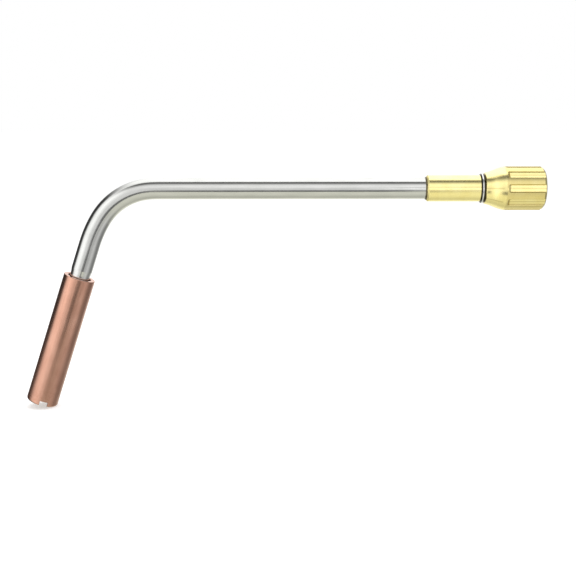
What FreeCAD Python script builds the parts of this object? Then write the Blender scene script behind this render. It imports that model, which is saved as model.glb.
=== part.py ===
import FreeCAD, Part
import math
import os

# Bent multi-flame heating tip for a propane and oxygen torch, in millimetres.
#
# Frame: the origin is on the tube's axis at the seat, the shoulder of the mixer's tail that stops
# against the torch handle. +X points along the straight tube towards the handle, +Z is up, and
# the bend lies in the XZ plane with the burner head hanging down and away from the handle.
# Places along X are called stations. Places inside the head are depths from its rear mouth.

Vector = FreeCAD.Vector
FULL_TURN = 360.0

# ---- driving dimensions -------------------------------------------------------------------

# Neck tube: half-inch stainless, drawn down a little where it enters the head
TUBE_OD = 12.7
TUBE_WALL = 1.0
STRAIGHT_LENGTH = 159.1        # mixer's front face to the start of the bend
ENTRY_RADIUS = 95.0            # the bend eases in, turns about the bender's die, and eases out
ENTRY_ANGLE = 3.5
DIE_RADIUS = 38.1
DIE_ANGLE = 54.6
EXIT_RADIUS = 72.0
EXIT_ANGLE = 13.5
LEG_LENGTH = 21.0              # end of the bend to the head's rear mouth
NECK_DRAW = 0.4                # radius lost in the drawn-down end
NECKED_LENGTH = 1.6            # necked tube showing above the rear mouth
NECK_TAPER = 3.2

# Burner head: copper shell, brass bushing on the tube's end, splined brass core
HEAD_LENGTH = 82.0
SHELL_WALL = 2.575
REAR_GAP = 1.0                 # open ring between the necked tube and the shell
CORE_SEAT_STEP = 0.5
REAR_MOUTH_ROUND = 0.45
FLAME_END_ROUND = 1.3
BORE_CHAMFER = 0.3
NOTCH_WIDTH = 5.0
NOTCH_DEPTH = 3.0
NOTCH_TURN = -15.0             # saw cut's turn from the bend plane's normal; less than 0 is to +X
CORE_LENGTH = 16.0
CORE_RECESS = 8.0              # flame end to the core's face
CORE_EDGE_CHAMFER = 0.4
CORE_FIT_CLEARANCE = 0.03
CENTRE_JET = 2.4
SPLINE_COUNT = 10
SPLINE_WIDTH = 1.5
SPLINE_DEPTH = 1.6
BUSHING_LENGTH = 14.0
BUSHING_SOCKET = 10.0
BUSHING_GAS_BORE = 8.0
GAS_SPACE = 12.0               # bushing to core
BUSHING_CHAMFER = 0.3
HEAD_BRAZE_LENGTH = 0.6        # braze fillet along the tube, and up the bushing
HEAD_BRAZE_HEIGHT = 0.6

# Mixer body, turned brass, from the seat back to the tube
SEAT_TO_FRONT = 59.6
BARREL_WALL = 1.5              # barrel's wall round the tube's socket
FRONT_CHAMFER = 0.8
FRONT_BRAZE_LENGTH = 1.0       # braze fillet along the tube, and up the front face
FRONT_BRAZE_HEIGHT = 0.6
TUBE_SOCKET = 12.0
SOCKET_STEP = 0.35             # ledge that stops the tube
THROAT_BORE = 3.2
THROAT_LENGTH = 8.0
DIFFUSER_LENGTH = 16.0
JET_BORE = 6.0
CHAMBER_DEPTH = 10.0           # seat to the end of the chamber round the jet's nose
COLLAR_STEP = 1.4              # collar's height over the barrel
COLLAR_LENGTH = 4.0
COLLAR_CHAMFER = 0.4
COLLAR_BACK = 11.0             # seat to the collar's rear face
LARGE_LAND_OD = 14.0
SMALL_LAND_OD = 12.0
SMALL_LAND_LENGTH = 6.5
PILOT_OD = 9.0
PILOT_LENGTH = 5.0
PILOT_CHAMFER = 0.5
FUEL_HOLE = 1.4
FUEL_HOLE_COUNT = 6

# Oxygen jet pressed into the tail
JET_RECESS = 0.5
JET_BODY_LENGTH = 8.0
JET_NOSE_OD = 4.0
JET_NOSE_LENGTH = 4.6
JET_NOSE_CONE = 1.0
JET_INLET = 3.4
JET_ORIFICE = 1.2
JET_ORIFICE_LENGTH = 2.6

# O-rings on the tail's two lands
O_RING_SECTION = 1.78
O_RING_STANDS_PROUD = 0.25
O_RING_GROOVE_WIDTH = 2.2
O_RING_TO_SEAT = 1.3           # seat to the small ring's groove

# Snap ring, a split ring of round spring wire
RING_WIRE = 1.8
RING_STAND = 1.05              # ring's height over the barrel
RING_GAP_ANGLE = 26.0
RING_GAP_AT = 250.0
RING_RUNNING_CLEARANCE = 0.06
RING_SIDE_CLEARANCE = 0.12

# Coupling nut: flared neck, nine wide shallow flutes, 18 threads to the inch inside
NUT_LENGTH = 35.3
NUT_REACH = 10.3               # seat to the nut's open end
NUT_FLOAT = 0.7                # the nut's front face to the snap ring
NUT_WALL = 2.68                # grip's wall over the thread's roots
NUT_NECK_WALL = 1.15
NUT_NECK_CLEARANCE = 0.3
NUT_COVE_LENGTH = 5.7
NUT_COVE_RISE = 1.8
NUT_FLARE_LENGTH = 11.6
NUT_COVE_BOW = 0.15
NUT_SHOULDER_BOW = 0.15
NUT_FRONT_CHAMFER = 0.35
NUT_REAR_CHAMFER = 1.5
NUT_SHOULDER_CLEARANCE = 0.3
THREAD_PITCH = 25.4 / 18.0
THREAD_HEIGHT_SHARE = 0.54     # internal thread height as a share of the pitch
THREAD_CREST_SHARE = 0.25
THREAD_RELIEF = 1.2
COLLAR_CLEARANCE = 0.308       # collar to the thread's crests
MOUTH_CLEARANCE = 0.25
MOUTH_DEPTH = 2.8
MOUTH_CHAMFER = 0.4
FLUTE_COUNT = 9
FLUTE_HALF_ANGLE = 11.0
FLUTE_WALL_LEAN = 30.0         # each wall's lean from the flute's depth
FLUTE_DEPTH = 0.9
FLUTE_START = 13.6             # nut's front face to the full depth of the flutes
FLUTE_RUN_OUT = 1.3
FIRST_FLUTE_AT = 86.3          # round the nut from the top, as it lies at rest

# ---- sizes that follow ---------------------------------------------------------------------

TUBE_RADIUS = TUBE_OD / 2
TUBE_BORE_RADIUS = TUBE_RADIUS - TUBE_WALL
NECKED_RADIUS = TUBE_RADIUS - NECK_DRAW
NECKED_BORE_RADIUS = NECKED_RADIUS - TUBE_WALL
SHELL_BORE_RADIUS = NECKED_RADIUS + REAR_GAP
FLAME_BORE_RADIUS = SHELL_BORE_RADIUS + CORE_SEAT_STEP
HEAD_RADIUS = SHELL_BORE_RADIUS + SHELL_WALL
BARREL_RADIUS = TUBE_RADIUS + BARREL_WALL
GAS_BORE_RADIUS = TUBE_BORE_RADIUS - SOCKET_STEP
COLLAR_RADIUS = BARREL_RADIUS + COLLAR_STEP
FRONT_STATION = -SEAT_TO_FRONT
BEND_STATION = FRONT_STATION - STRAIGHT_LENGTH
HEAD_ANGLE = ENTRY_ANGLE + DIE_ANGLE + EXIT_ANGLE
CORE_SEAT_DEPTH = HEAD_LENGTH - CORE_RECESS - CORE_LENGTH
BUSHING_DEPTH = CORE_SEAT_DEPTH - GAS_SPACE - BUSHING_LENGTH
TUBE_END_DEPTH = BUSHING_DEPTH + BUSHING_SOCKET
COLLAR_FRONT = COLLAR_BACK + COLLAR_LENGTH
SMALL_O_RING_STATION = -O_RING_TO_SEAT - O_RING_GROOVE_WIDTH / 2
LARGE_O_RING_STATION = -(COLLAR_BACK + SMALL_LAND_LENGTH) / 2
THREAD_MINOR_RADIUS = COLLAR_RADIUS + COLLAR_CLEARANCE
THREAD_MAJOR_RADIUS = THREAD_MINOR_RADIUS + THREAD_HEIGHT_SHARE * THREAD_PITCH
MOUTH_RADIUS = THREAD_MAJOR_RADIUS + MOUTH_CLEARANCE
NUT_BORE_RADIUS = BARREL_RADIUS + NUT_NECK_CLEARANCE
NUT_NECK_RADIUS = NUT_BORE_RADIUS + NUT_NECK_WALL
NUT_RADIUS = THREAD_MAJOR_RADIUS + NUT_WALL
NUT_FRONT_STATION = NUT_REACH - NUT_LENGTH
NUT_SHOULDER_STATION = -COLLAR_FRONT - NUT_SHOULDER_CLEARANCE
RING_STATION = NUT_FRONT_STATION - NUT_FLOAT - RING_WIRE / 2
RING_CENTRE_RADIUS = BARREL_RADIUS + RING_STAND - RING_WIRE / 2
RING_GROOVE_RADIUS = RING_CENTRE_RADIUS - RING_WIRE / 2 - RING_RUNNING_CLEARANCE


# ---- helpers -------------------------------------------------------------------------------

def turned(outline):
    """A solid turned about the X axis from a closed outline of (station, radius) points."""
    points = [Vector(station, 0, radius) for station, radius in outline]
    face = Part.Face(Part.makePolygon(points + points[:1]))
    return face.revolve(Vector(0, 0, 0), Vector(1, 0, 0), FULL_TURN)


def bar(start, end, radius):
    """A round bar along X between two stations."""
    return Part.makeCylinder(radius, end - start, Vector(start, 0, 0), Vector(1, 0, 0))


def wire_ring(station, centre_radius, wire_radius, sweep=FULL_TURN):
    """A ring of round wire about the X axis, whole or swept over part of a turn."""
    centre = Vector(station, 0, centre_radius)
    section = Part.Circle(centre, Vector(0, 1, 0), wire_radius).toShape()
    face = Part.Face(Part.Wire(section))
    return face.revolve(Vector(0, 0, 0), Vector(1, 0, 0), sweep)


def around_x(shape, angle):
    """A copy of a shape turned about the X axis."""
    copy = shape.copy()
    copy.rotate(Vector(0, 0, 0), Vector(1, 0, 0), angle)
    return copy


def braze_fillet(station, radius, length, height):
    """A ring of braze in the corner where the tube leaves a face, on the face's -X side."""
    return turned([
        (station, radius),
        (station - length, radius),
        (station, radius + height),
    ])


# ---- the tube's route ----------------------------------------------------------------------

def heading(angle):
    """The tube's direction after it has turned down by an angle."""
    turn = math.radians(angle)
    return Vector(-math.cos(turn), 0, -math.sin(turn))


def inward(angle):
    """The direction to the centre of the bend at that heading."""
    turn = math.radians(angle)
    return Vector(math.sin(turn), 0, -math.cos(turn))


def bend_arcs():
    """The three tangent arcs of the bend, and the point and heading where they end."""
    arcs = []
    point = Vector(BEND_STATION, 0, 0)
    angle = 0.0
    for radius, turn in (
        (ENTRY_RADIUS, ENTRY_ANGLE),
        (DIE_RADIUS, DIE_ANGLE),
        (EXIT_RADIUS, EXIT_ANGLE),
    ):
        centre = point + inward(angle) * radius
        middle = centre - inward(angle + turn / 2) * radius
        end = centre - inward(angle + turn) * radius
        arcs.append(Part.Arc(point, middle, end).toShape())
        point = end
        angle += turn
    return arcs, point


def rear_mouth():
    """The centre of the head's rear mouth, at the end of the tube's straight leg."""
    bend_end = bend_arcs()[1]
    return bend_end + heading(HEAD_ANGLE) * LEG_LENGTH


def tube_core(radius, necked_radius):
    """A solid rod along the tube's whole route, with the drawn-down end."""
    start = Vector(FRONT_STATION + TUBE_SOCKET, 0, 0)
    arcs, bend_end = bend_arcs()
    down = heading(HEAD_ANGLE)
    neck_top = rear_mouth() - down * (NECKED_LENGTH + NECK_TAPER)
    neck_bottom = rear_mouth() - down * NECKED_LENGTH
    run = Part.LineSegment(start, Vector(BEND_STATION, 0, 0)).toShape()
    leg = Part.LineSegment(bend_end, neck_top).toShape()
    route = Part.Wire([run] + arcs + [leg])
    section = Part.Wire(Part.Circle(start, Vector(1, 0, 0), radius).toShape())
    rod = route.makePipeShell([section], True, False)
    taper = Part.makeCone(radius, necked_radius, NECK_TAPER, neck_top, down)
    necked = Part.makeCylinder(necked_radius, NECKED_LENGTH + TUBE_END_DEPTH, neck_bottom, down)
    return rod.fuse([taper, necked])


def neck_tube():
    outside = tube_core(TUBE_RADIUS, NECKED_RADIUS)
    inside = tube_core(TUBE_BORE_RADIUS, NECKED_BORE_RADIUS)
    return outside.cut(inside).removeSplitter()


# ---- burner head, each piece built along +X from the rear mouth ------------------------------

def in_head(shape):
    """Turns a piece built along +X so that it lies along the head's axis."""
    placed = shape.copy()
    placed.rotate(Vector(0, 0, 0), Vector(0, 1, 0), 180.0 - HEAD_ANGLE)
    placed.translate(rear_mouth())
    return placed


def edges_at(shape, depth):
    """The edges of a piece that lie at one depth."""
    slack = 1e-6
    return [
        edge for edge in shape.Edges
        if abs(edge.BoundBox.XMin - depth) < slack and abs(edge.BoundBox.XMax - depth) < slack
    ]


def notch_cutter():
    """One saw cut across the flame end, which leaves a notch on each side."""
    slab = Part.makeBox(
        2 * NOTCH_DEPTH,
        4 * HEAD_RADIUS,
        NOTCH_WIDTH,
        Vector(HEAD_LENGTH - NOTCH_DEPTH, -2 * HEAD_RADIUS, -NOTCH_WIDTH / 2),
    )
    return around_x(slab, NOTCH_TURN)


def head_shell():
    body = bar(0, HEAD_LENGTH, HEAD_RADIUS)
    body = body.makeFillet(REAR_MOUTH_ROUND, edges_at(body, 0))
    body = body.makeFillet(FLAME_END_ROUND, edges_at(body, HEAD_LENGTH))
    rear = SHELL_BORE_RADIUS
    front = FLAME_BORE_RADIUS
    bore = turned([
        (-BORE_CHAMFER, 0),
        (-BORE_CHAMFER, rear + 2 * BORE_CHAMFER),
        (BORE_CHAMFER, rear),
        (CORE_SEAT_DEPTH, rear),
        (CORE_SEAT_DEPTH, front),
        (HEAD_LENGTH - BORE_CHAMFER, front),
        (HEAD_LENGTH + BORE_CHAMFER, front + 2 * BORE_CHAMFER),
        (HEAD_LENGTH + BORE_CHAMFER, 0),
    ])
    return in_head(body.cut([bore, notch_cutter()]))


def tip_bushing():
    outside = SHELL_BORE_RADIUS
    end = BUSHING_DEPTH + BUSHING_LENGTH
    body = turned([
        (BUSHING_DEPTH, NECKED_RADIUS),
        (BUSHING_DEPTH, outside - BUSHING_CHAMFER),
        (BUSHING_DEPTH + BUSHING_CHAMFER, outside),
        (end - BUSHING_CHAMFER, outside),
        (end, outside - BUSHING_CHAMFER),
        (end, BUSHING_GAS_BORE / 2),
        (TUBE_END_DEPTH, BUSHING_GAS_BORE / 2),
        (TUBE_END_DEPTH, NECKED_RADIUS),
    ])
    return in_head(body)


def tube_braze_ring():
    return in_head(
        braze_fillet(BUSHING_DEPTH, NECKED_RADIUS, HEAD_BRAZE_LENGTH, HEAD_BRAZE_HEIGHT)
    )


def flame_core():
    outside = FLAME_BORE_RADIUS - CORE_FIT_CLEARANCE
    face = CORE_SEAT_DEPTH + CORE_LENGTH
    body = turned([
        (CORE_SEAT_DEPTH, CENTRE_JET / 2),
        (CORE_SEAT_DEPTH, outside),
        (face - CORE_EDGE_CHAMFER, outside),
        (face, outside - CORE_EDGE_CHAMFER),
        (face, CENTRE_JET / 2),
    ])
    slot = Part.makeBox(
        CORE_LENGTH + 2,
        SPLINE_WIDTH,
        2 * SPLINE_DEPTH,
        Vector(CORE_SEAT_DEPTH - 1, -SPLINE_WIDTH / 2, outside - SPLINE_DEPTH),
    )
    slots = [around_x(slot, i * FULL_TURN / SPLINE_COUNT) for i in range(SPLINE_COUNT)]
    return in_head(body.cut(slots))


# ---- mixer ---------------------------------------------------------------------------------

def o_ring_groove(station, land_radius):
    """The tool that cuts an O-ring's groove into a land of the tail."""
    floor = land_radius + O_RING_STANDS_PROUD - O_RING_SECTION
    start = station - O_RING_GROOVE_WIDTH / 2
    groove = bar(start, start + O_RING_GROOVE_WIDTH, land_radius + 1)
    return groove.cut(bar(start - 1, start + O_RING_GROOVE_WIDTH + 1, floor))


def o_ring(station, land_radius):
    centre = land_radius + O_RING_STANDS_PROUD - O_RING_SECTION / 2
    return wire_ring(station, centre, O_RING_SECTION / 2)


def snap_ring_groove():
    half = RING_WIRE / 2 + RING_SIDE_CLEARANCE
    groove = bar(RING_STATION - half, RING_STATION + half, BARREL_RADIUS + 1)
    return groove.cut(bar(RING_STATION - half - 1, RING_STATION + half + 1, RING_GROOVE_RADIUS))


def mixer_bore():
    """The gas way: jet bore and chamber, throat, widening diffuser, then the tube's socket."""
    throat_end = -CHAMBER_DEPTH - THROAT_LENGTH
    diffuser_end = throat_end - DIFFUSER_LENGTH
    socket_end = FRONT_STATION + TUBE_SOCKET
    return turned([
        (PILOT_LENGTH + 1, 0),
        (PILOT_LENGTH + 1, JET_BORE / 2),
        (-CHAMBER_DEPTH, JET_BORE / 2),
        (-CHAMBER_DEPTH - (JET_BORE - THROAT_BORE) / 2, THROAT_BORE / 2),
        (throat_end, THROAT_BORE / 2),
        (diffuser_end, GAS_BORE_RADIUS),
        (socket_end, GAS_BORE_RADIUS),
        (socket_end, TUBE_RADIUS),
        (FRONT_STATION - 1, TUBE_RADIUS),
        (FRONT_STATION - 1, 0),
    ])


def fuel_holes():
    """Radial holes that feed fuel gas from between the O-rings into the chamber."""
    between = -(SMALL_LAND_LENGTH - SMALL_O_RING_STATION + O_RING_GROOVE_WIDTH / 2) / 2
    hole = Part.makeCylinder(
        FUEL_HOLE / 2, SMALL_LAND_OD, Vector(between, 0, 0), Vector(0, 0, 1)
    )
    return [around_x(hole, i * FULL_TURN / FUEL_HOLE_COUNT) for i in range(FUEL_HOLE_COUNT)]


def mixer_body():
    collar = COLLAR_RADIUS
    body = turned([
        (FRONT_STATION, 0),
        (FRONT_STATION, BARREL_RADIUS - FRONT_CHAMFER),
        (FRONT_STATION + FRONT_CHAMFER, BARREL_RADIUS),
        (-COLLAR_FRONT, BARREL_RADIUS),
        (-COLLAR_FRONT, collar - COLLAR_CHAMFER),
        (-COLLAR_FRONT + COLLAR_CHAMFER, collar),
        (-COLLAR_BACK - COLLAR_CHAMFER, collar),
        (-COLLAR_BACK, collar - COLLAR_CHAMFER),
        (-COLLAR_BACK, LARGE_LAND_OD / 2),
        (-SMALL_LAND_LENGTH, LARGE_LAND_OD / 2),
        (-SMALL_LAND_LENGTH, SMALL_LAND_OD / 2),
        (0, SMALL_LAND_OD / 2),
        (0, PILOT_OD / 2),
        (PILOT_LENGTH - PILOT_CHAMFER, PILOT_OD / 2),
        (PILOT_LENGTH, PILOT_OD / 2 - PILOT_CHAMFER),
        (PILOT_LENGTH, 0),
    ])
    grooves = [
        snap_ring_groove(),
        o_ring_groove(LARGE_O_RING_STATION, LARGE_LAND_OD / 2),
        o_ring_groove(SMALL_O_RING_STATION, SMALL_LAND_OD / 2),
    ]
    return body.cut([mixer_bore()] + grooves + fuel_holes())


def mixer_braze_ring():
    return braze_fillet(FRONT_STATION, TUBE_RADIUS, FRONT_BRAZE_LENGTH, FRONT_BRAZE_HEIGHT)


def injector():
    """The oxygen jet: a body pressed into the tail, and a nose that ends before the throat."""
    back = PILOT_LENGTH - JET_RECESS
    shoulder = back - JET_BODY_LENGTH
    tip = shoulder - JET_NOSE_LENGTH
    nose = JET_NOSE_OD / 2
    orifice_end = tip + JET_ORIFICE_LENGTH
    return turned([
        (back, JET_INLET / 2),
        (back, JET_BORE / 2),
        (shoulder, JET_BORE / 2),
        (shoulder, nose),
        (tip + JET_NOSE_CONE, nose),
        (tip, nose - JET_NOSE_CONE / 2),
        (tip, JET_ORIFICE / 2),
        (orifice_end, JET_ORIFICE / 2),
        (orifice_end + (JET_INLET - JET_ORIFICE) / 2, JET_INLET / 2),
    ])


def snap_ring():
    ring = wire_ring(
        RING_STATION, RING_CENTRE_RADIUS, RING_WIRE / 2, FULL_TURN - RING_GAP_ANGLE
    )
    return around_x(ring, RING_GAP_AT)


# ---- coupling nut --------------------------------------------------------------------------

def nut_outside():
    """The nut's outside: a cove that flares out of the neck, a rounded shoulder, the grip."""
    front = NUT_FRONT_STATION
    neck = NUT_NECK_RADIUS
    start = Vector(front + NUT_FRONT_CHAMFER, 0, neck)
    turn = Vector(front + NUT_COVE_LENGTH, 0, neck + NUT_COVE_RISE)
    crown = Vector(front + NUT_FLARE_LENGTH, 0, NUT_RADIUS)
    cove_middle = (start + turn) * 0.5 - Vector(0, 0, NUT_COVE_BOW)
    shoulder_middle = (turn + crown) * 0.5 + Vector(0, 0, NUT_SHOULDER_BOW)
    grip_end = Vector(NUT_REACH - NUT_REAR_CHAMFER, 0, NUT_RADIUS)
    rim = Vector(NUT_REACH, 0, NUT_RADIUS - NUT_REAR_CHAMFER)
    rest = Part.makePolygon([
        crown,
        grip_end,
        rim,
        Vector(NUT_REACH, 0, 0),
        Vector(front, 0, 0),
        Vector(front, 0, neck - NUT_FRONT_CHAMFER),
        start,
    ])
    outline = Part.Wire([
        Part.Arc(start, cove_middle, turn).toShape(),
        Part.Arc(turn, shoulder_middle, crown).toShape(),
    ] + rest.Edges)
    return Part.Face(outline).revolve(Vector(0, 0, 0), Vector(1, 0, 0), FULL_TURN)


def flute_cutters():
    """Flat-bottomed cutters laid along the grip, each with a sloped run-out at its front."""
    half = math.radians(FLUTE_HALF_ANGLE)
    lean = math.tan(math.radians(FLUTE_WALL_LEAN))
    floor = NUT_RADIUS - FLUTE_DEPTH
    top = NUT_RADIUS + 1
    floor_half = NUT_RADIUS * math.sin(half) - (NUT_RADIUS * math.cos(half) - floor) * lean
    top_half = floor_half + (top - floor) * lean
    start = NUT_FRONT_STATION + FLUTE_START
    corners = [
        Vector(start, -floor_half, floor),
        Vector(start, floor_half, floor),
        Vector(start, top_half, top),
        Vector(start, -top_half, top),
    ]
    section = Part.Face(Part.makePolygon(corners + corners[:1]))
    run = section.extrude(Vector(NUT_REACH + 1 - start, 0, 0))
    run_out = section.extrude(Vector(-FLUTE_RUN_OUT, 0, FLUTE_DEPTH))
    cutter = run.fuse(run_out)
    return [
        around_x(cutter, FIRST_FLUTE_AT + i * FULL_TURN / FLUTE_COUNT)
        for i in range(FLUTE_COUNT)
    ]


def nut_inside():
    """The nut's bore: neck, shoulder that pulls on the collar, threaded socket, plain mouth."""
    shoulder = NUT_SHOULDER_STATION
    mouth = NUT_REACH - MOUTH_DEPTH
    half_crest = THREAD_PITCH * THREAD_CREST_SHARE / 2
    flank = (THREAD_PITCH - 2 * half_crest) / 2
    outline = [
        (NUT_FRONT_STATION - 1, 0),
        (NUT_FRONT_STATION - 1, NUT_BORE_RADIUS),
        (shoulder, NUT_BORE_RADIUS),
        (shoulder, THREAD_MAJOR_RADIUS),
        (shoulder + THREAD_RELIEF, THREAD_MAJOR_RADIUS),
    ]
    station = shoulder + THREAD_RELIEF
    while station + THREAD_PITCH < mouth:
        outline.append((station + flank - half_crest / 2, THREAD_MINOR_RADIUS))
        outline.append((station + flank + half_crest, THREAD_MINOR_RADIUS))
        station += THREAD_PITCH
        outline.append((station - half_crest / 2, THREAD_MAJOR_RADIUS))
        outline.append((station, THREAD_MAJOR_RADIUS))
    outline += [
        (mouth, THREAD_MAJOR_RADIUS),
        (mouth, MOUTH_RADIUS),
        (NUT_REACH - MOUTH_CHAMFER, MOUTH_RADIUS),
        (NUT_REACH + 1, MOUTH_RADIUS + MOUTH_CHAMFER + 1),
        (NUT_REACH + 1, 0),
    ]
    return turned(outline)


def coupling_nut():
    return nut_outside().cut([nut_inside()] + flute_cutters())


# ---- the assembly --------------------------------------------------------------------------

NODES = {
    "neck_tube": neck_tube,
    "head_shell": head_shell,
    "tip_bushing": tip_bushing,
    "tube_braze_ring": tube_braze_ring,
    "flame_core": flame_core,
    "mixer_body": mixer_body,
    "mixer_braze_ring": mixer_braze_ring,
    "injector": injector,
    "large_o_ring": lambda: o_ring(LARGE_O_RING_STATION, LARGE_LAND_OD / 2),
    "small_o_ring": lambda: o_ring(SMALL_O_RING_STATION, SMALL_LAND_OD / 2),
    "snap_ring": snap_ring,
    "coupling_nut": coupling_nut,
}

os.makedirs("parts", exist_ok=True)
for name, build in NODES.items():
    shape = build()
    shape.exportStep("parts/" + name + ".step")
    print(name, "solids", len(shape.Solids), "valid", shape.isValid(), "mm3", round(shape.Volume, 1))
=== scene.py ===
import math

import bpy
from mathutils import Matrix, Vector


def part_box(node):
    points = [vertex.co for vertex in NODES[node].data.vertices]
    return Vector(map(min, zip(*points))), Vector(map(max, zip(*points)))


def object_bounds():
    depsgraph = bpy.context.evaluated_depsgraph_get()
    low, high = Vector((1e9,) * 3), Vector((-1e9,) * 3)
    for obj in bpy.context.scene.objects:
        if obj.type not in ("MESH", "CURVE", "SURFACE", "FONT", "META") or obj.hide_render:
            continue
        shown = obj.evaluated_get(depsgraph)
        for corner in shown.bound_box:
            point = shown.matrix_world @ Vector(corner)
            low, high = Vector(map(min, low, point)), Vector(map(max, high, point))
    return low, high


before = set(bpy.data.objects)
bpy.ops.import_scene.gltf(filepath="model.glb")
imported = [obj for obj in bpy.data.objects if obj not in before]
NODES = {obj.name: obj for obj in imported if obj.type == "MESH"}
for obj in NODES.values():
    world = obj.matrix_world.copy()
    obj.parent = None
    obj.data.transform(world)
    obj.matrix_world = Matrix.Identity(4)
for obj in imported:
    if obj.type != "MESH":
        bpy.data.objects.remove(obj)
CAD_LOW, CAD_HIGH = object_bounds()
MM = 0.001
WHITE = (1.0, 1.0, 1.0, 1.0)

# ---- places read from the frame --------------------------------------------------------------

BOX_CENTRE = (CAD_LOW + CAD_HIGH) / 2
FLOOR_HEIGHT = CAD_LOW.z

# The leg and the head hang down from -X by this angle; the bend's inside is on the +X side
HEAD_ANGLE = math.radians(71.6)
HEAD_AXIS = Vector((-math.cos(HEAD_ANGLE), 0.0, -math.sin(HEAD_ANGLE)))
HEAD_SIDE = Vector((math.sin(HEAD_ANGLE), 0.0, -math.cos(HEAD_ANGLE)))
HEAD_TURN = (0.0, math.atan2(HEAD_AXIS.z, HEAD_AXIS.x), 0.0)
SHELL_LOW, SHELL_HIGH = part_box("head_shell")
SHELL_CENTRE = (SHELL_LOW + SHELL_HIGH) / 2

# The bend's centre is one radius to the inside of the leg, and one radius below the X axis
BEND_RADIUS = 38.1 * MM
BEND_CENTRE = SHELL_CENTRE + HEAD_SIDE * BEND_RADIUS
BEND_CENTRE -= HEAD_AXIS * ((BEND_CENTRE.z + BEND_RADIUS) / HEAD_AXIS.z)

NUT_LOW, NUT_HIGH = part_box("coupling_nut")
NUT_RADIUS = NUT_HIGH.z
NUT_GRIP_START = NUT_LOW.x + 12.0 * MM
FLUTE_STEP = math.radians(40.0)
FIRST_FLUTE = math.radians(86.3)

RING_LOW, RING_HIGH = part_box("snap_ring")
RING_STATION = (RING_LOW.x + RING_HIGH.x) / 2
MIXER_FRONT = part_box("mixer_body")[0].x


# ---- node helpers ----------------------------------------------------------------------------

def blank_material(name):
    """A material with no nodes."""
    material = bpy.data.materials.new(name)
    material.use_nodes = True
    material.node_tree.nodes.clear()
    return material, material.node_tree


def show(tree, surface):
    """Makes a shader's output the material's surface."""
    output = tree.nodes.new("ShaderNodeOutputMaterial")
    tree.links.new(surface, output.inputs["Surface"])


def new_material(name):
    """A material with its Principled shader."""
    material, tree = blank_material(name)
    shader = tree.nodes.new("ShaderNodeBsdfPrincipled")
    show(tree, shader.outputs["BSDF"])
    return material, tree, shader


def plug(tree, socket, value):
    """Links a socket into an input, or sets the input to a plain value."""
    if isinstance(value, bpy.types.NodeSocket):
        tree.links.new(value, socket)
    else:
        socket.default_value = value


def calc(tree, operation, *values):
    """A Math node; its operands are numbers or sockets."""
    made = tree.nodes.new("ShaderNodeMath")
    made.operation = operation
    for socket, value in zip(made.inputs, values):
        plug(tree, socket, value)
    return made.outputs[0]


def smooth(tree, value, start, end):
    """0 below start, 1 above end, eased between them."""
    made = tree.nodes.new("ShaderNodeMapRange")
    made.interpolation_type = "SMOOTHSTEP"
    plug(tree, made.inputs["Value"], value)
    made.inputs["From Min"].default_value = start
    made.inputs["From Max"].default_value = end
    return made.outputs["Result"]


def spread(tree, value, low, high):
    """Takes a value from 0..1 to low..high."""
    return calc(tree, "MULTIPLY_ADD", value, high - low, low)


def ramp(tree, factor, stops):
    """A colour ramp; each stop is (place, grey value or colour)."""
    made = tree.nodes.new("ShaderNodeValToRGB")
    tree.links.new(factor, made.inputs[0])
    elements = made.color_ramp.elements
    while len(elements) < len(stops):
        elements.new(0.5)
    for element, (place, value) in zip(elements, stops):
        element.position = place
        element.color = (*value, 1.0) if isinstance(value, tuple) else (value, value, value, 1.0)
    return made.outputs[0]


def mix_colour(tree, factor, first, second, blend="MIX"):
    """Blends two colours, each a socket or a plain colour."""
    made = tree.nodes.new("ShaderNodeMix")
    made.data_type = "RGBA"
    made.blend_type = blend
    for name, value in (("Factor", factor), ("A", first), ("B", second)):
        plug(tree, next(s for s in made.inputs if s.name == name and s.enabled), value)
    return next(s for s in made.outputs if s.enabled)


def object_position(tree):
    """A point in the part's own coordinates."""
    return tree.nodes.new("ShaderNodeTexCoord").outputs["Object"]


def mapped(tree, vector, scale=(1.0, 1.0, 1.0), turn=(0.0, 0.0, 0.0)):
    """A vector turned, then scaled."""
    turned = tree.nodes.new("ShaderNodeMapping")
    tree.links.new(vector, turned.inputs["Vector"])
    turned.inputs["Rotation"].default_value = turn
    sized = tree.nodes.new("ShaderNodeMapping")
    tree.links.new(turned.outputs[0], sized.inputs["Vector"])
    sized.inputs["Scale"].default_value = scale
    return sized.outputs[0]


def in_mm(tree, scale, turn=(0.0, 0.0, 0.0)):
    """The part's own coordinates, turned; scale is in cycles for each millimetre."""
    return mapped(tree, object_position(tree), tuple(value / MM for value in scale), turn)


def noise(tree, vector, detail=2.0, roughness=0.5):
    """Smooth noise from 0 to 1, about one cycle for each unit of the vector."""
    made = tree.nodes.new("ShaderNodeTexNoise")
    tree.links.new(vector, made.inputs["Vector"])
    made.inputs["Scale"].default_value = 1.0
    made.inputs["Detail"].default_value = detail
    made.inputs["Roughness"].default_value = roughness
    return made.outputs["Fac"]


def along(tree, vector, direction):
    """How far a vector reaches in a direction."""
    made = tree.nodes.new("ShaderNodeVectorMath")
    made.operation = "DOT_PRODUCT"
    tree.links.new(vector, made.inputs[0])
    made.inputs[1].default_value = direction
    return made.outputs["Value"]


def offset_from(tree, vector, point):
    """The vector from a fixed point to a moving one."""
    made = tree.nodes.new("ShaderNodeVectorMath")
    made.operation = "SUBTRACT"
    tree.links.new(vector, made.inputs[0])
    made.inputs[1].default_value = point
    return made.outputs[0]


def combined(tree, *values):
    """A vector from three numbers or sockets."""
    made = tree.nodes.new("ShaderNodeCombineXYZ")
    for socket, value in zip(made.inputs, values):
        plug(tree, socket, value)
    return made.outputs[0]


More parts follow.
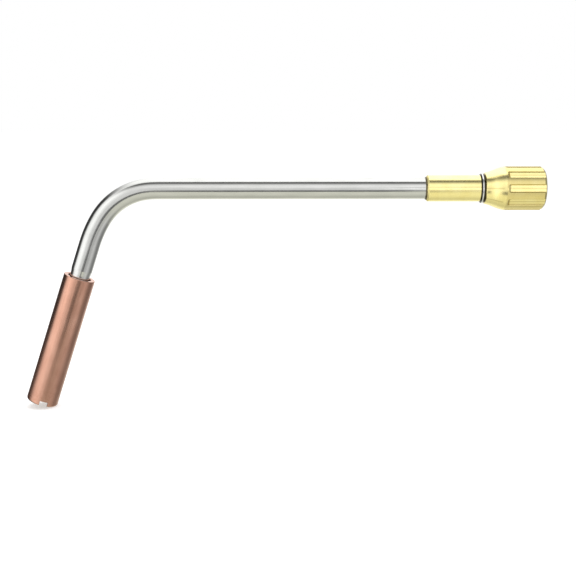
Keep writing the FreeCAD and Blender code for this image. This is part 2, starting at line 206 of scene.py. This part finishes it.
def hypotenuse(tree, first, second):
    """The long side of a right triangle with these two short sides."""
    first_square = calc(tree, "MULTIPLY", first, first)
    second_square = calc(tree, "MULTIPLY", second, second)
    return calc(tree, "SQRT", calc(tree, "ADD", first_square, second_square))


def x_station(tree):
    """How far along the X axis a point lies."""
    return along(tree, object_position(tree), (1, 0, 0))


def distance_round(tree, position):
    """Distance from the X axis."""
    return hypotenuse(tree, along(tree, position, (0, 1, 0)), along(tree, position, (0, 0, 1)))


def corners(tree, reach):
    """1 in concave corners, 0 away from them by a reach in millimetres."""
    made = tree.nodes.new("ShaderNodeAmbientOcclusion")
    made.samples = 8
    made.only_local = True
    made.inputs["Distance"].default_value = reach * MM
    return smooth(tree, made.outputs["AO"], 0.97, 0.72)


def soft_edges(tree, radius):
    """A normal that rounds sharp edges off by a radius in millimetres."""
    made = tree.nodes.new("ShaderNodeBevel")
    made.samples = 6
    made.inputs["Radius"].default_value = radius * MM
    return made.outputs[0]


def bump(tree, height, strength, distance, normal=None):
    """A bump; distance is in millimetres."""
    made = tree.nodes.new("ShaderNodeBump")
    tree.links.new(height, made.inputs["Height"])
    made.inputs["Strength"].default_value = strength
    made.inputs["Distance"].default_value = distance * MM
    if normal is not None:
        tree.links.new(normal, made.inputs["Normal"])
    return made.outputs[0]


def metal(name, tint, shade, roughness, surface_normal, coat=0.0, coat_roughness=0.2):
    """A metal whose colour is a tint times a shade, with its roughness and its normal."""
    material, tree, shader = new_material(name)
    colour = mix_colour(tree, 1.0, tint(tree), shade(tree), "MULTIPLY")
    tree.links.new(colour, shader.inputs["Base Color"])
    tree.links.new(roughness(tree), shader.inputs["Roughness"])
    tree.links.new(surface_normal(tree), shader.inputs["Normal"])
    shader.inputs["Metallic"].default_value = 1.0
    shader.inputs["Coat Weight"].default_value = coat
    shader.inputs["Coat Roughness"].default_value = coat_roughness
    return material


def dress(names, material):
    """Gives CAD nodes a material in place of the plain one that they came with."""
    for name in names:
        mesh = NODES[name].data
        mesh.materials.clear()
        mesh.materials.append(material)


# ---- brass -----------------------------------------------------------------------------------

BRASS_PALE = (0.99, 0.88, 0.42)
BRASS_DEEP = (0.93, 0.80, 0.34)
# Painted shade on the nut's lands, which leaves them darker and greyer than the flute floors
LAND_PAINTED_SHADE = (0.82, 0.79, 0.74, 1.0)
# Painted shade in the nut's corners and on its front face is blended towards this, as are the lines down the
# flutes
NUT_DARK_TONE = (0.42, 0.36, 0.28, 1.0)
BARREL_GAP_PAINTED_SHADE = 0.08    # how much of the barrel's brightness the painted shade in the gap leaves


def turned_rings(tree, turn=(0.0, 0.0, 0.0)):
    """The lathe tool's feed marks: coarse rings about the axis, with fine ones in them."""
    coarse = noise(tree, in_mm(tree, (1.6, 0.02, 0.02), turn), 2.0)
    fine = noise(tree, in_mm(tree, (9.0, 0.05, 0.05), turn), 3.0, 0.7)
    return calc(tree, "ADD", calc(tree, "MULTIPLY", coarse, 0.45), calc(tree, "MULTIPLY", fine, 0.55))


def turned_shade(tree, turn=(0.0, 0.0, 0.0)):
    """Feed marks as a slight darkening."""
    return ramp(tree, turned_rings(tree, turn), [(0.34, 0.93), (0.60, 1.0)])


def brass_tint(tree):
    """Brass with the faint clouds of handled metal."""
    clouds = noise(tree, in_mm(tree, (0.11, 0.11, 0.11)), 4.0, 0.6)
    return ramp(tree, clouds, [(0.32, BRASS_DEEP), (0.66, BRASS_PALE)])


def turned_brass(name, roughness, edge, turn=(0.0, 0.0, 0.0)):
    """Plain turned brass; roughness is its range, and edge how far its edges are rounded."""
    low, high = roughness
    return metal(
        name,
        brass_tint,
        lambda tree: turned_shade(tree, turn),
        lambda tree: spread(tree, turned_rings(tree, turn), low, high),
        lambda tree: bump(tree, turned_rings(tree, turn), 0.12, 0.010, soft_edges(tree, edge)),
    )


def mixer_shade(tree):
    """Turning marks, and painted shade on the barrel in the gap from the snap ring to the nut."""
    station = x_station(tree)
    ahead = smooth(tree, station, RING_STATION - 0.95 * MM, RING_STATION - 1.6 * MM)
    inside = smooth(tree, station, NUT_LOW.x + MM, NUT_LOW.x + 4.0 * MM)
    # Painted shade: the barrel turns nearly black in the gap between the snap ring and the nut
    gap_painted_shade = spread(tree, calc(tree, "MAXIMUM", ahead, inside), BARREL_GAP_PAINTED_SHADE, 1.0)
    return mix_colour(tree, 1.0, turned_shade(tree), combined(tree, gap_painted_shade, gap_painted_shade, gap_painted_shade), "MULTIPLY")


def mixer_roughness(tree):
    """Smooth, but duller on the front chamfer and face, which the braze's flame has touched."""
    station = x_station(tree)
    front = smooth(tree, station, MIXER_FRONT + 1.0 * MM, MIXER_FRONT + 0.7 * MM)
    return calc(tree, "MULTIPLY_ADD", front, 0.3, spread(tree, turned_rings(tree), 0.16, 0.24))


def mixer_brass():
    """The mixer's turned brass, with painted shade by the nut."""
    return metal(
        "mixer_brass",
        brass_tint,
        mixer_shade,
        mixer_roughness,
        lambda tree: bump(tree, turned_rings(tree), 0.12, 0.010, soft_edges(tree, 0.16)),
    )


def nut_grain(tree):
    """Turned rings on the nut's neck and lands, drawn lines along it in the flutes."""
    radius = distance_round(tree, object_position(tree))
    grip = smooth(tree, x_station(tree), NUT_GRIP_START, NUT_GRIP_START + 0.5 * MM)
    flute = smooth(tree, radius, NUT_RADIUS - 0.04 * MM, NUT_RADIUS - 0.14 * MM)
    drawn = noise(tree, in_mm(tree, (0.04, 5.0, 5.0)), 3.0, 0.6)
    share = calc(tree, "MULTIPLY", grip, flute)
    rings = calc(tree, "MULTIPLY", turned_rings(tree), calc(tree, "SUBTRACT", 1.0, share))
    return calc(tree, "ADD", calc(tree, "MULTIPLY", drawn, share), rings)


def flute_middles(tree):
    """1 on a darker line down the middle of each flute."""
    position = object_position(tree)
    turn = calc(tree, "ARCTAN2", along(tree, position, (0, -1, 0)), along(tree, position, (0, 0, 1)))
    # Counted in flutes, so that each flute's middle is a whole number and a half, always above zero
    steps = calc(tree, "MULTIPLY_ADD", turn, 1 / FLUTE_STEP, 10.5 - FIRST_FLUTE / FLUTE_STEP)
    aside = calc(tree, "ABSOLUTE", calc(tree, "SUBTRACT", calc(tree, "FRACT", steps), 0.5))
    floor = smooth(tree, distance_round(tree, position), NUT_RADIUS - 0.3 * MM, NUT_RADIUS - 0.6 * MM)
    return calc(tree, "MULTIPLY", smooth(tree, aside, 0.085, 0.035), floor)


def nut_shade(tree):
    """Machining marks, lands painted darker than the flute floors, a darker line down each flute, and
    painted shade in the corners and on the front face.
    """
    marks = ramp(tree, nut_grain(tree), [(0.30, 0.90), (0.62, 1.0)])
    radius = distance_round(tree, object_position(tree))
    flute = smooth(tree, radius, NUT_RADIUS - 0.3 * MM, NUT_RADIUS - 0.7 * MM)
    grip = smooth(tree, x_station(tree), NUT_GRIP_START - MM, NUT_GRIP_START)
    land = calc(tree, "MULTIPLY", grip, calc(tree, "SUBTRACT", 1.0, flute))
    # Painted shade: the lands are multiplied darker and greyer than the flute floors
    marks = mix_colour(tree, land, marks, mix_colour(tree, 1.0, marks, LAND_PAINTED_SHADE, "MULTIPLY"))
    # Painted shade on the front face and in concave corners; each flute's middle gets a fainter darker line
    face = smooth(tree, x_station(tree), NUT_LOW.x + 0.12 * MM, NUT_LOW.x)
    darkening = calc(tree, "MAXIMUM", calc(tree, "MULTIPLY", flute_middles(tree), 0.35), corners(tree, 0.9))
    darkening = calc(tree, "MAXIMUM", darkening, face)
    return mix_colour(tree, darkening, marks, NUT_DARK_TONE)


def nut_brass():
    """The nut's brass: turned and fluted, with painted shade."""
    return metal(
        "nut_brass",
        brass_tint,
        nut_shade,
        lambda tree: spread(tree, nut_grain(tree), 0.16, 0.26),
        lambda tree: bump(tree, nut_grain(tree), 0.14, 0.012, soft_edges(tree, 0.12)),
    )


# ---- stainless tube --------------------------------------------------------------------------

STEEL_PALE = (0.63, 0.63, 0.615)
STEEL_DEEP = (0.565, 0.57, 0.55)
WIRE_DEEP = (0.60, 0.60, 0.58)
WIRE_PALE = (0.78, 0.78, 0.76)


def tube_offset(tree, position):
    """How far a point lies outside the tube's centre line, in the plane of the bend."""
    from_bend = offset_from(tree, position, BEND_CENTRE)
    reaches = []
    for onward, aside in ((Vector((1, 0, 0)), Vector((0, 0, 1))), (HEAD_AXIS, HEAD_SIDE)):
        short = calc(tree, "MINIMUM", along(tree, from_bend, onward), 0.0)
        reaches.append(hypotenuse(tree, short, along(tree, from_bend, aside)))
    return calc(tree, "SUBTRACT", calc(tree, "MINIMUM", *reaches), BEND_RADIUS)


def drawn_lines(tree):
    """The polished lines of a drawn tube, which follow it round the bend."""
    position = object_position(tree)
    lines = combined(
        tree,
        tube_offset(tree, position),
        along(tree, position, (0, 1, 0)),
        along(tree, position, (0.02, 0, 0)),
    )
    return noise(tree, mapped(tree, lines, (2.2 / MM, 2.2 / MM, 2.2 / MM)), 4.0, 0.6)


def steel_tint(tree):
    """Stainless steel in faint long clouds."""
    clouds = noise(tree, in_mm(tree, (0.07, 0.16, 0.16)), 3.0)
    return ramp(tree, clouds, [(0.3, STEEL_DEEP), (0.7, STEEL_PALE)])


def stainless(name, roughness):
    """Polished stainless tube; roughness is its range."""
    low, high = roughness
    return metal(
        name,
        steel_tint,
        lambda tree: ramp(tree, drawn_lines(tree), [(0.30, 0.90), (0.60, 1.0)]),
        lambda tree: spread(tree, noise(tree, in_mm(tree, (0.3, 0.3, 0.3)), 4.0, 0.6), low, high),
        lambda tree: bump(tree, drawn_lines(tree), 0.22, 0.010, soft_edges(tree, 0.08)),
    )


def spring_wire():
    """Spring wire, bright along its crown, with painted shade on its flanks, and with its lines round the
    ring.
    """
    def lines(tree):
        position = object_position(tree)
        across = combined(tree, along(tree, position, (1, 0, 0)), distance_round(tree, position), 0.0)
        return noise(tree, mapped(tree, across, (6.0 / MM, 6.0 / MM, 1.0)), 3.0)

    # Painted shade: the wire darkens to near black on its flanks, away from its crown
    def painted_shade_flanks(tree):
        station = x_station(tree)
        away = calc(tree, "ABSOLUTE", calc(tree, "SUBTRACT", station, RING_STATION))
        flank_reach = calc(tree, "MULTIPLY_ADD", lines(tree), 0.16 * MM, away)
        return ramp(tree, smooth(tree, flank_reach, 0.34 * MM, 0.58 * MM), [(0.0, 1.0), (1.0, 0.03)])

    return metal(
        "spring_steel",
        lambda tree: ramp(tree, lines(tree), [(0.3, WIRE_DEEP), (0.7, WIRE_PALE)]),
        painted_shade_flanks,
        lambda tree: spread(tree, lines(tree), 0.12, 0.24),
        lambda tree: bump(tree, lines(tree), 0.3, 0.01),
    )


# ---- copper ----------------------------------------------------------------------------------

COPPER_PALE = (0.655, 0.368, 0.268)
COPPER_DEEP = (0.53, 0.275, 0.193)
COPPER_OXIDE = (0.80, 0.70, 0.62, 1.0)


def copper_grain(tree):
    """Fine lines along the drawn shell."""
    return noise(tree, in_mm(tree, (0.035, 3.2, 3.2), HEAD_TURN), 4.0, 0.62)


def head_depth(tree):
    """How far a point lies from the shell's middle towards the flame end."""
    return along(tree, offset_from(tree, object_position(tree), SHELL_CENTRE), HEAD_AXIS)


def towards_flame(tree):
    """0 on the rear of the head, easing to 1 at the flame end."""
    return smooth(tree, head_depth(tree), -30.0 * MM, 40.0 * MM)


def copper_roughness(tree):
    """Drawn lines, duller towards the flame end."""
    lines = spread(tree, copper_grain(tree), 0.19, 0.30)
    return calc(tree, "MULTIPLY_ADD", towards_flame(tree), 0.14, lines)


def copper_tint(tree):
    """Copper in soft clouds, a little darker towards the flame end, with oxide specks where the flame end
    has been warm.
    """
    clouds = noise(tree, in_mm(tree, (0.06, 0.14, 0.14), HEAD_TURN), 5.0, 0.6)
    clean = ramp(tree, clouds, [(0.30, COPPER_DEEP), (0.68, COPPER_PALE)])
    # A plain darkening towards the flame end
    flame_end_darkening = ramp(tree, towards_flame(tree), [(0.0, 1.0), (1.0, 0.93)])
    clean = mix_colour(tree, 1.0, clean, flame_end_darkening, "MULTIPLY")
    specks = noise(tree, in_mm(tree, (0.9, 0.9, 0.9)), 3.0, 0.7)
    hot_end = smooth(tree, head_depth(tree), 22.0 * MM, 46.0 * MM)
    warmed = calc(tree, "MULTIPLY", hot_end, smooth(tree, specks, 0.35, 0.75))
    return mix_colour(tree, warmed, clean, mix_colour(tree, 1.0, clean, COPPER_OXIDE, "MULTIPLY"))


def copper():
    """The burner shell's drawn copper, under a thin clear film."""
    return metal(
        "copper",
        copper_tint,
        lambda tree: ramp(tree, copper_grain(tree), [(0.28, 0.86), (0.62, 1.0)]),
        copper_roughness,
        lambda tree: bump(tree, copper_grain(tree), 0.25, 0.012, soft_edges(tree, 0.2)),
        coat=0.2,
        coat_roughness=0.3,
    )


# ---- braze and rubber ------------------------------------------------------------------------

BRAZE_STAIN = (0.06, 0.05, 0.03)
BRAZE_SILVER = (0.26, 0.22, 0.13)


def braze():
    """Silver braze, dull and a little lumpy, with brown flux stain in the hollows."""
    def lumps(tree):
        return noise(tree, in_mm(tree, (1.1, 1.1, 1.1)), 5.0, 0.6)

    return metal(
        "braze",
        lambda tree: ramp(tree, lumps(tree), [(0.35, BRAZE_STAIN), (0.65, BRAZE_SILVER)]),
        lambda tree: ramp(tree, noise(tree, in_mm(tree, (4.0, 4.0, 4.0)), 2.0), [(0.3, 0.7), (0.6, 1.0)]),
        lambda tree: spread(tree, lumps(tree), 0.38, 0.6),
        lambda tree: bump(tree, lumps(tree), 0.7, 0.08),
    )


def rubber():
    """Black seal rubber with a fine grain."""
    material, tree, shader = new_material("seal_rubber")
    grain = noise(tree, in_mm(tree, (6.0, 6.0, 6.0)), 4.0)
    tree.links.new(ramp(tree, grain, [(0.3, 0.012), (0.7, 0.03)]), shader.inputs["Base Color"])
    tree.links.new(spread(tree, grain, 0.42, 0.62), shader.inputs["Roughness"])
    tree.links.new(bump(tree, grain, 0.25, 0.02), shader.inputs["Normal"])
    return material


dress(["coupling_nut"], nut_brass())
dress(["mixer_body"], mixer_brass())
dress(["injector"], turned_brass("jet_brass", (0.24, 0.36), 0.05))
dress(["tip_bushing", "flame_core"], turned_brass("head_brass", (0.28, 0.42), 0.08, HEAD_TURN))
dress(["neck_tube"], stainless("stainless", (0.10, 0.17)))
dress(["head_shell"], copper())
dress(["snap_ring"], spring_wire())
dress(["mixer_braze_ring", "tube_braze_ring"], braze())
dress(["large_o_ring", "small_o_ring"], rubber())


# ---- studio ----------------------------------------------------------------------------------

DOME_LIGHT = 0.8       # the world's light on the object, where 1 is white
FLOOR_SIZE = 14.0
FLOOR_GREY = (0.7, 0.7, 0.7, 1.0)
FLOOR_GLOW = 0.47      # what brings the unshaded floor up to white
TENT_RADIUS = 6.5
NEVER_ZERO = 0.02 * TENT_RADIUS    # keeps the division between the rings defined ahead and behind
TENT_PEAK = 1.4        # the brightest level in the rings; the ramps hold shares of it
TENT_STRENGTH = 1.75   # the tent's light at that level
WARM_WHITE = (1.0, 1.0, 0.87)

# Brightness round the tent by degrees, in two rings. The levels were set from readings of
# the photograph's shading across the tube, the mixer and the head. The upright ring starts behind
# the object below the horizon, and runs under it, past the camera (0), over the top and back (180).
UPRIGHT_RING = [
    (-180, 0.95), (-135, 0.85), (-112, 0.55), (-90, 0.62), (-72, 0.74), (-50, 0.80), (-32, 0.78),
    (-14, 0.76), (0, 0.84), (16, 1.04), (30, 1.08), (42, 0.92), (52, 0.56), (60, 0.22),
    (69, 0.12), (77, 0.18), (84, 1.30), (92, 1.40), (125, 1.40), (150, 1.25), (180, 0.95),
]
# The level ring starts behind, and runs by the left side, the camera (0) and the right side.
LEVEL_RING = [
    (-180, 0.95), (-156, 0.60), (-140, 0.04), (-100, 0.05), (-91, 0.24), (-82, 0.90), (-73, 1.20),
    (-62, 1.30), (-46, 1.38), (-34, 1.15), (-20, 0.86), (-6, 0.80), (8, 0.72), (22, 0.56),
    (36, 0.50), (48, 0.60), (60, 0.72), (72, 0.64), (84, 0.46), (98, 0.32), (114, 0.24),
    (138, 0.26), (154, 0.60), (180, 0.95),
]


# Two cards in front of the object, below and beside the camera, with feathered edges. Each has
# its centre, half its size, its light level, and where its cover ends and is full across and up.
DARK_GAP = (Vector((-0.14, -0.70, -0.32)), (0.34, 0.26), 0.22, ((0.30, 0.24), (0.34, 0.16)))
BRIGHT_PANEL = (Vector((0.27, -0.70, -0.025)), (0.33, 0.12), 1.55, ((0.50, 0.36), (0.50, 0.30)))


CAMERA_LENS = 65.0
CAMERA_DISTANCE = 0.632
CAMERA_ELEVATION = math.radians(9.9)
CAMERA_AZIMUTH = math.radians(-0.7)
CAMERA_AIM = Vector((-0.1423, 0.0, -0.0604))


def seen_directly(tree):
    """1 for camera, glossy and transmission rays, 0 for the rays that light the object."""
    path = tree.nodes.new("ShaderNodeLightPath").outputs
    total = calc(tree, "ADD", path["Is Camera Ray"], path["Is Glossy Ray"])
    total = calc(tree, "ADD", total, path["Is Transmission Ray"])
    return calc(tree, "MINIMUM", total, 1.0)


def make_world():
    """White to look at, and a plain dome of softer light on the object."""
    world = bpy.data.worlds.new("studio")
    bpy.context.scene.world = world
    world.use_nodes = True
    tree = world.node_tree
    tree.nodes.clear()
    background = tree.nodes.new("ShaderNodeBackground")
    output = tree.nodes.new("ShaderNodeOutputWorld")
    background.inputs["Color"].default_value = WHITE
    tree.links.new(background.outputs[0], output.inputs[0])
    tree.links.new(spread(tree, seen_directly(tree), DOME_LIGHT, 1.0), background.inputs["Strength"])


def make_floor():
    """A pale floor, white where it is unshaded, that keeps the object's soft shadow."""
    bpy.ops.mesh.primitive_plane_add(size=FLOOR_SIZE, location=(BOX_CENTRE.x, 0.0, FLOOR_HEIGHT))
    floor = bpy.context.object
    floor.name = "floor"
    material, tree, shader = new_material("pale_floor")
    shader.inputs["Base Color"].default_value = FLOOR_GREY
    shader.inputs["Roughness"].default_value = 1.0
    shader.inputs["Specular IOR Level"].default_value = 0.0
    shader.inputs["Emission Color"].default_value = WHITE
    glow = calc(tree, "MULTIPLY", seen_directly(tree), FLOOR_GLOW)
    tree.links.new(glow, shader.inputs["Emission Strength"])
    floor.data.materials.append(material)
    floor.visible_glossy = False


def mirrored_only(thing, material):
    """Leaves a glowing piece of the studio to glossy rays alone."""
    thing.data.materials.append(material)
    for rays in ("camera", "diffuse", "transmission", "volume_scatter", "shadow"):
        setattr(thing, "visible_" + rays, False)


def ring_of_light(tree, sideways, forwards, levels, warm_below=None):
    """One ring's brightness in a direction, as a share of the tent's peak."""
    angle = calc(tree, "ARCTAN2", sideways, forwards)
    turn = calc(tree, "MULTIPLY_ADD", angle, 1 / (2 * math.pi), 0.5)
    stops = []
    for degrees, level in levels:
        share = level / TENT_PEAK
        warm = warm_below is not None and degrees < warm_below
        colour = WARM_WHITE if warm else (1.0, 1.0, 1.0)
        stops.append((degrees / 360 + 0.5, tuple(share * part for part in colour)))
    return ramp(tree, turn, stops)


def make_tent():
    """The studio that the metal mirrors: broad white panels with dark gaps between them."""
    bpy.ops.mesh.primitive_uv_sphere_add(segments=96, ring_count=48, radius=TENT_RADIUS, location=BOX_CENTRE)
    tent = bpy.context.object
    tent.name = "studio_tent"
    material, tree = blank_material("tent_panels")
    place = object_position(tree)
    right, back, up = (along(tree, place, axis) for axis in ((1, 0, 0), (0, 1, 0), (0, 0, 1)))
    front = calc(tree, "MULTIPLY", back, -1.0)
    upright = ring_of_light(tree, up, front, UPRIGHT_RING, warm_below=-20)
    level = ring_of_light(tree, right, front, LEVEL_RING)
    # The upright ring rules above and below the object, and the level ring beside it
    high, wide = calc(tree, "ABSOLUTE", up), calc(tree, "ABSOLUTE", right)
    reach = calc(tree, "ADD", calc(tree, "ADD", high, wide), NEVER_ZERO)
    upright_share = smooth(tree, calc(tree, "DIVIDE", high, reach), 0.40, 0.72)
    emission = tree.nodes.new("ShaderNodeEmission")
    tree.links.new(mix_colour(tree, upright_share, level, upright), emission.inputs["Color"])
    emission.inputs["Strength"].default_value = TENT_STRENGTH
    show(tree, emission.outputs[0])
    mirrored_only(tent, material)


def make_card(name, centre, half_size, level, feather):
    """A card that only metal mirrors."""
    bpy.ops.mesh.primitive_plane_add(size=1.0, location=centre, rotation=(math.pi / 2, 0.0, 0.0))
    card = bpy.context.object
    card.name = name
    card.scale = (2 * half_size[0], 2 * half_size[1], 1.0)
    material, tree = blank_material(name)
    place = object_position(tree)
    cover = 1.0
    for axis, (edge, full) in zip(((1, 0, 0), (0, 1, 0)), feather):
        out = calc(tree, "ABSOLUTE", along(tree, place, axis))
        cover = calc(tree, "MULTIPLY", cover, smooth(tree, out, edge, full))
    clear = tree.nodes.new("ShaderNodeBsdfTransparent")
    lit = tree.nodes.new("ShaderNodeEmission")
    lit.inputs["Strength"].default_value = level
    mixed = tree.nodes.new("ShaderNodeMixShader")
    tree.links.new(cover, mixed.inputs[0])
    tree.links.new(clear.outputs[0], mixed.inputs[1])
    tree.links.new(lit.outputs[0], mixed.inputs[2])
    show(tree, mixed.outputs[0])
    mirrored_only(card, material)


def softbox(name, place, size, power):
    """A soft lamp aimed at the object; metal mirrors the tent instead of it."""
    lamp = bpy.data.lights.new(name, "AREA")
    lamp.shape = "RECTANGLE"
    lamp.size, lamp.size_y = size
    lamp.energy = power
    holder = bpy.data.objects.new(name, lamp)
    bpy.context.collection.objects.link(holder)
    holder.location = BOX_CENTRE + Vector(place)
    holder.rotation_euler = (-Vector(place)).to_track_quat("-Z", "Y").to_euler()
    holder.visible_glossy = False


def make_camera():
    """The camera, at the photograph's angle."""
    data = bpy.data.cameras.new("camera")
    data.lens = CAMERA_LENS
    data.sensor_width = 36.0
    data.clip_start = 0.01
    camera = bpy.data.objects.new("camera", data)
    bpy.context.collection.objects.link(camera)
    forward = Vector((
        -math.sin(CAMERA_AZIMUTH) * math.cos(CAMERA_ELEVATION),
        math.cos(CAMERA_AZIMUTH) * math.cos(CAMERA_ELEVATION),
        -math.sin(CAMERA_ELEVATION),
    ))
    camera.location = CAMERA_AIM - forward * CAMERA_DISTANCE
    camera.rotation_euler = forward.to_track_quat("-Z", "Y").to_euler()
    bpy.context.scene.camera = camera


make_world()
make_floor()
make_tent()
make_card("dark_gap", *DARK_GAP)
make_card("bright_panel", *BRIGHT_PANEL)
softbox("overhead", (0.05, 0.10, 0.80), (1.0, 0.7), 5.0)
make_camera()
bpy.context.scene.view_settings.view_transform = "Standard"
